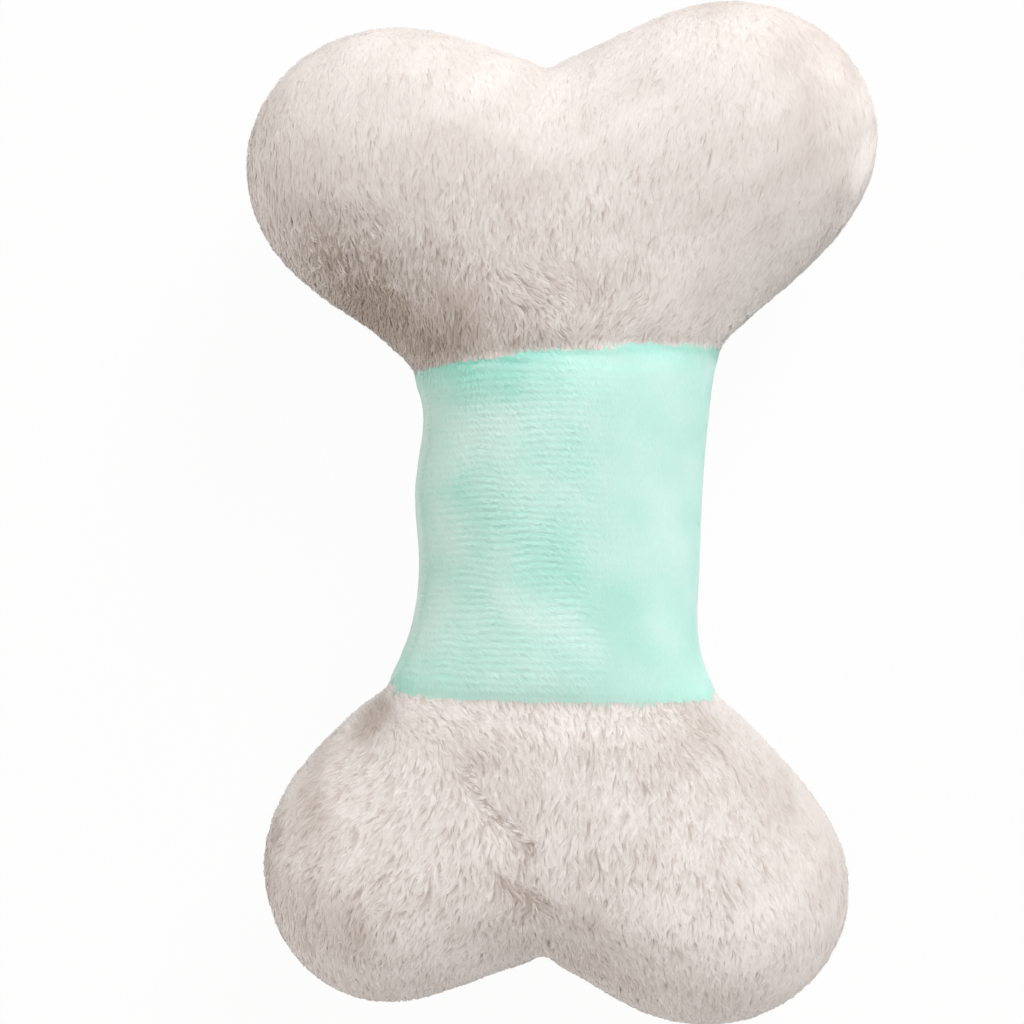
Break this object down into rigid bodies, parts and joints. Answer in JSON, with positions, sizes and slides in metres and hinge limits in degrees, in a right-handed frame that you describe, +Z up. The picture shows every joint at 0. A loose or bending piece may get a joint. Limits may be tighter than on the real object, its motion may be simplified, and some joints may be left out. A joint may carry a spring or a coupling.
{
  "type": "squeaky dog toy",
  "caption": "Bone-shaped plush dog toy with grey lobed ends and a mint middle band, filled with fibre around a bellows squeaker that chirps when the band is pressed.",
  "frame": {"origin": "on the floor under the middle of the bone's box, with the bone lying on its back", "axes": "+Y along the bone, towards the end with the wider lobes, +Z up, out of the front face that is pressed, +X across the bone"},
  "size_m": [0.0989, 0.1602, 0.0446],
  "materials": {
    "grey_plush": "long brushed pile",
    "mint_plush": "short brushed pile in knit rows",
    "seam_thread": "twisted polyester",
    "fibre_fill": "loose polyester fibre",
    "pouch_cloth": "bonded cloth",
    "soft_plastic": "milky polyethylene",
    "reed_plastic": "moulded",
    "reed_film": "clear film"
  },
  "bodies": {
    "toy_body": {"cover_front_upper": "grey_plush", "cover_front_lower": "grey_plush", "cover_back_upper": "grey_plush", "cover_back_lower": "grey_plush", "cover_back_band": "mint_plush", "thread_perimeter": "seam_thread", "thread_closing": "seam_thread", "thread_front_upper": "seam_thread", "thread_front_lower": "seam_thread", "thread_back_upper": "seam_thread", "thread_back_lower": "seam_thread", "stuffing_upper_left": "fibre_fill", "stuffing_upper_right": "fibre_fill", "stuffing_lower_left": "fibre_fill", "stuffing_lower_right": "fibre_fill", "stuffing_band_back": "fibre_fill", "pouch_back": "pouch_cloth", "squeaker_base": "soft_plastic", "squeaker_bellows": "soft_plastic", "reed_sleeve": "reed_plastic", "reed_shallot": "reed_plastic"},
    "press_pad": {"cover_front_band": "mint_plush", "stuffing_band_front": "fibre_fill", "pouch_front": "pouch_cloth", "squeaker_crown": "soft_plastic"},
    "reed": {"reed_tongue": "reed_film"}
  },
  "joints": [
    {"name": "squeeze", "type": "slide", "parent": "toy_body", "child": "press_pad", "axis": [0, 0, -1], "range_m": [0, 0.007], "stiffness_N_per_m": 400, "deforming": ["cover_front_band", "squeaker_bellows"]},
    {"name": "reed_beat", "type": "hinge", "parent": "toy_body", "child": "reed", "pos_m": [0.00028, -0.00183, 0.01595], "axis": [0, 1, 0], "range_deg": [-2, 6], "stiffness_Nm_per_rad": 0.0000005}
  ]
}
